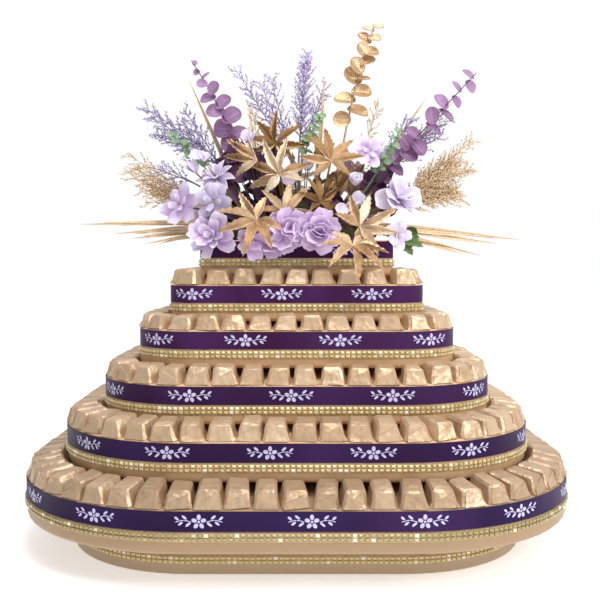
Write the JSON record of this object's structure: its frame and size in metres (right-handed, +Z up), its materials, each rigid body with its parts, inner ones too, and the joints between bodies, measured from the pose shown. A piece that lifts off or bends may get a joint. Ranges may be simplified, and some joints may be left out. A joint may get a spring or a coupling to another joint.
{
  "type": "chocolate tower",
  "caption": "Stepped oval presentation tower of gold-foil pralines on ribboned padded boxes, topped by a lilac and gold flower arrangement.",
  "frame": {"origin": "middle of the plinth's underside, on the surface that the tower stands on", "axes": "+X along the tower's long side, to the viewer's right; -Y to the front; +Z up"},
  "size_m": [0.529, 0.444, 0.5245],
  "materials": {
    "leatherette": "smooth matte",
    "ribbon": "satin",
    "trim": "metallised facets",
    "foil": "creased satin foil",
    "foam": "moss-covered foam",
    "gold_leaf": "satin gold paint",
    "blossom": "silk petals",
    "purple_leaf": "matte",
    "plume": "flocked",
    "dried_grass": "dry and matte",
    "green_leaf": "matte"
  },
  "bodies": {
    "root": {"plinth_box": "leatherette", "plinth_ribbon": "ribbon", "plinth_trim": "trim", "tier_1_box": "leatherette", "tier_1_ribbon": "ribbon", "tier_1_trim": "trim", "tier_2_box": "leatherette", "tier_2_ribbon": "ribbon", "tier_2_trim": "trim", "tier_3_box": "leatherette", "tier_3_ribbon": "ribbon", "tier_3_trim": "trim", "tier_4_box": "leatherette", "tier_4_ribbon": "ribbon", "tier_4_trim": "trim", "tier_5_box": "leatherette", "tier_5_ribbon": "ribbon", "tier_5_trim": "trim", "tier_6_box": "leatherette", "tier_6_ribbon": "ribbon", "tier_6_trim": "trim", "pralines_1": "foil", "pralines_2": "foil", "pralines_3": "foil", "pralines_4": "foil", "pralines_5": "foil", "flower_foam": "foam", "gold_leaf_1": "gold_leaf", "gold_leaf_2": "gold_leaf", "gold_leaf_3": "gold_leaf", "gold_leaf_4": "gold_leaf", "gold_leaf_5": "gold_leaf", "gold_leaf_6": "gold_leaf", "gold_leaf_7": "gold_leaf", "gold_leaf_8": "gold_leaf", "gold_leaf_9": "gold_leaf", "gold_leaf_10": "gold_leaf", "blossom_1": "blossom", "blossom_2": "blossom", "blossom_3": "blossom", "blossom_4": "blossom", "blossom_5": "blossom", "blossom_6": "blossom", "blossom_7": "blossom", "blossom_8": "blossom", "blossom_9": "blossom", "blossom_10": "blossom", "blossom_11": "blossom", "blossom_12": "blossom", "eucalyptus_gold": "gold_leaf", "eucalyptus_left": "purple_leaf", "eucalyptus_right": "purple_leaf", "sprig_left": "green_leaf", "sprig_right": "green_leaf", "plume_left": "plume", "plume_centre": "plume", "plume_right": "plume", "dried_grass_left": "dried_grass", "dried_grass_right": "dried_grass", "green_leaf": "green_leaf"}
  },
  "joints": []
}
